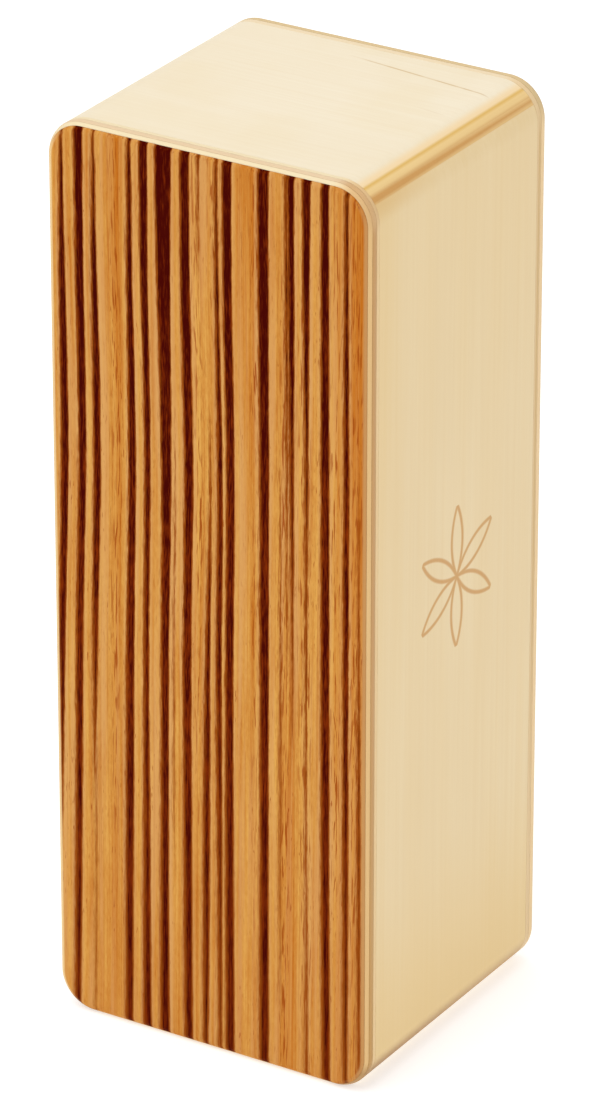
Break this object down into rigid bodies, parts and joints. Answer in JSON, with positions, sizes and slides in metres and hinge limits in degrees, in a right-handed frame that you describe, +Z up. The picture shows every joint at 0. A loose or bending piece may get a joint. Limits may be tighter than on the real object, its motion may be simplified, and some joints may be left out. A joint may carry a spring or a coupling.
{
  "type": "box shaker",
  "caption": "Tall rounded plywood box with a stripy figured front panel and loose steel pellets sealed inside, shaken by hand to keep rhythm.",
  "frame": {"origin": "centre of the base, on the surface that the shaker stands on", "axes": "+Z up along the long side, -Y towards the figured front panel, +X to the right seen from the front"},
  "size_m": [0.062, 0.057, 0.165],
  "materials": {
    "zebrano": "satin lacquer over dark-striped figure",
    "pale_birch": "clear satin lacquer",
    "golden_birch": "sanded ply edge, lacquered",
    "dark_birch": "sanded end grain, lacquered",
    "steel": "tumbled steel shot"
  },
  "bodies": {
    "box": {"front_veneer": "zebrano", "front_face_ply": "golden_birch", "front_core_ply": "dark_birch", "front_inner_ply": "pale_birch", "back_outer_ply": "pale_birch", "back_core_ply": "golden_birch", "back_inner_ply": "dark_birch", "top_outer_ply": "pale_birch", "top_core_ply": "golden_birch", "top_inner_ply": "dark_birch", "bottom_outer_ply": "pale_birch", "bottom_core_ply": "golden_birch", "bottom_inner_ply": "dark_birch", "left_outer_ply": "pale_birch", "left_core_ply": "golden_birch", "left_inner_ply": "dark_birch", "right_outer_ply": "pale_birch", "right_core_ply": "golden_birch", "right_inner_ply": "dark_birch"},
    "pellet_01": {"pellet_01": "steel"},
    "pellet_02": {"pellet_02": "steel"},
    "pellet_03": {"pellet_03": "steel"},
    "pellet_04": {"pellet_04": "steel"},
    "pellet_05": {"pellet_05": "steel"},
    "pellet_06": {"pellet_06": "steel"},
    "pellet_07": {"pellet_07": "steel"},
    "pellet_08": {"pellet_08": "steel"},
    "pellet_09": {"pellet_09": "steel"},
    "pellet_10": {"pellet_10": "steel"},
    "pellet_11": {"pellet_11": "steel"},
    "pellet_12": {"pellet_12": "steel"},
    "pellet_13": {"pellet_13": "steel"},
    "pellet_14": {"pellet_14": "steel"},
    "pellet_15": {"pellet_15": "steel"},
    "pellet_16": {"pellet_16": "steel"},
    "pellet_17": {"pellet_17": "steel"},
    "pellet_18": {"pellet_18": "steel"},
    "pellet_19": {"pellet_19": "steel"},
    "pellet_20": {"pellet_20": "steel"},
    "pellet_21": {"pellet_21": "steel"},
    "pellet_22": {"pellet_22": "steel"},
    "pellet_23": {"pellet_23": "steel"},
    "pellet_24": {"pellet_24": "steel"},
    "pellet_25": {"pellet_25": "steel"},
    "pellet_26": {"pellet_26": "steel"},
    "pellet_27": {"pellet_27": "steel"},
    "pellet_28": {"pellet_28": "steel"},
    "pellet_29": {"pellet_29": "steel"},
    "pellet_30": {"pellet_30": "steel"},
    "pellet_31": {"pellet_31": "steel"},
    "pellet_32": {"pellet_32": "steel"},
    "pellet_33": {"pellet_33": "steel"},
    "pellet_34": {"pellet_34": "steel"},
    "pellet_35": {"pellet_35": "steel"},
    "pellet_36": {"pellet_36": "steel"}
  },
  "joints": [
    {"name": "pellet_01_bounce", "type": "slide", "parent": "box", "child": "pellet_01", "axis": [0, 0, 1], "range_m": [0, 0.1524]},
    {"name": "pellet_02_bounce", "type": "slide", "parent": "box", "child": "pellet_02", "axis": [0, 0, 1], "range_m": [0, 0.1524]},
    {"name": "pellet_03_bounce", "type": "slide", "parent": "box", "child": "pellet_03", "axis": [0, 0, 1], "range_m": [0, 0.1524]},
    {"name": "pellet_04_bounce", "type": "slide", "parent": "box", "child": "pellet_04", "axis": [0, 0, 1], "range_m": [0, 0.1524]},
    {"name": "pellet_05_bounce", "type": "slide", "parent": "box", "child": "pellet_05", "axis": [0, 0, 1], "range_m": [0, 0.1524]},
    {"name": "pellet_06_bounce", "type": "slide", "parent": "box", "child": "pellet_06", "axis": [0, 0, 1], "range_m": [0, 0.1524]},
    {"name": "pellet_07_bounce", "type": "slide", "parent": "box", "child": "pellet_07", "axis": [0, 0, 1], "range_m": [0, 0.1524]},
    {"name": "pellet_08_bounce", "type": "slide", "parent": "box", "child": "pellet_08", "axis": [0, 0, 1], "range_m": [0, 0.1524]},
    {"name": "pellet_09_bounce", "type": "slide", "parent": "box", "child": "pellet_09", "axis": [0, 0, 1], "range_m": [0, 0.1524]},
    {"name": "pellet_10_bounce", "type": "slide", "parent": "box", "child": "pellet_10", "axis": [0, 0, 1], "range_m": [0, 0.1524]},
    {"name": "pellet_11_bounce", "type": "slide", "parent": "box", "child": "pellet_11", "axis": [0, 0, 1], "range_m": [0, 0.1524]},
    {"name": "pellet_12_bounce", "type": "slide", "parent": "box", "child": "pellet_12", "axis": [0, 0, 1], "range_m": [0, 0.1524]},
    {"name": "pellet_13_bounce", "type": "slide", "parent": "box", "child": "pellet_13", "axis": [0, 0, 1], "range_m": [0, 0.1524]},
    {"name": "pellet_14_bounce", "type": "slide", "parent": "box", "child": "pellet_14", "axis": [0, 0, 1], "range_m": [0, 0.1524]},
    {"name": "pellet_15_bounce", "type": "slide", "parent": "box", "child": "pellet_15", "axis": [0, 0, 1], "range_m": [0, 0.1524]},
    {"name": "pellet_16_bounce", "type": "slide", "parent": "box", "child": "pellet_16", "axis": [0, 0, 1], "range_m": [0, 0.1524]},
    {"name": "pellet_17_bounce", "type": "slide", "parent": "box", "child": "pellet_17", "axis": [0, 0, 1], "range_m": [0, 0.1524]},
    {"name": "pellet_18_bounce", "type": "slide", "parent": "box", "child": "pellet_18", "axis": [0, 0, 1], "range_m": [0, 0.1524]},
    {"name": "pellet_19_bounce", "type": "slide", "parent": "box", "child": "pellet_19", "axis": [0, 0, 1], "range_m": [0, 0.1524]},
    {"name": "pellet_20_bounce", "type": "slide", "parent": "box", "child": "pellet_20", "axis": [0, 0, 1], "range_m": [0, 0.1524]},
    {"name": "pellet_21_bounce", "type": "slide", "parent": "box", "child": "pellet_21", "axis": [0, 0, 1], "range_m": [0, 0.1524]},
    {"name": "pellet_22_bounce", "type": "slide", "parent": "box", "child": "pellet_22", "axis": [0, 0, 1], "range_m": [0, 0.1524]},
    {"name": "pellet_23_bounce", "type": "slide", "parent": "box", "child": "pellet_23", "axis": [0, 0, 1], "range_m": [0, 0.1524]},
    {"name": "pellet_24_bounce", "type": "slide", "parent": "box", "child": "pellet_24", "axis": [0, 0, 1], "range_m": [0, 0.1524]},
    {"name": "pellet_25_bounce", "type": "slide", "parent": "box", "child": "pellet_25", "axis": [0, 0, 1], "range_m": [0, 0.1524]},
    {"name": "pellet_26_bounce", "type": "slide", "parent": "box", "child": "pellet_26", "axis": [0, 0, 1], "range_m": [0, 0.1524]},
    {"name": "pellet_27_bounce", "type": "slide", "parent": "box", "child": "pellet_27", "axis": [0, 0, 1], "range_m": [0, 0.1524]},
    {"name": "pellet_28_bounce", "type": "slide", "parent": "box", "child": "pellet_28", "axis": [0, 0, 1], "range_m": [0, 0.1524]},
    {"name": "pellet_29_bounce", "type": "slide", "parent": "box", "child": "pellet_29", "axis": [0, 0, 1], "range_m": [0, 0.1524]},
    {"name": "pellet_30_bounce", "type": "slide", "parent": "box", "child": "pellet_30", "axis": [0, 0, 1], "range_m": [0, 0.1524]},
    {"name": "pellet_31_bounce", "type": "slide", "parent": "box", "child": "pellet_31", "axis": [0, 0, 1], "range_m": [0, 0.1524]},
    {"name": "pellet_32_bounce", "type": "slide", "parent": "box", "child": "pellet_32", "axis": [0, 0, 1], "range_m": [0, 0.1524]},
    {"name": "pellet_33_bounce", "type": "slide", "parent": "box", "child": "pellet_33", "axis": [0, 0, 1], "range_m": [0, 0.1524]},
    {"name": "pellet_34_bounce", "type": "slide", "parent": "box", "child": "pellet_34", "axis": [0, 0, 1], "range_m": [0, 0.1524]},
    {"name": "pellet_35_bounce", "type": "slide", "parent": "box", "child": "pellet_35", "axis": [0, 0, 1], "range_m": [0, 0.1524]},
    {"name": "pellet_36_bounce", "type": "slide", "parent": "box", "child": "pellet_36", "axis": [0, 0, 1], "range_m": [0, 0.1524]}
  ]
}
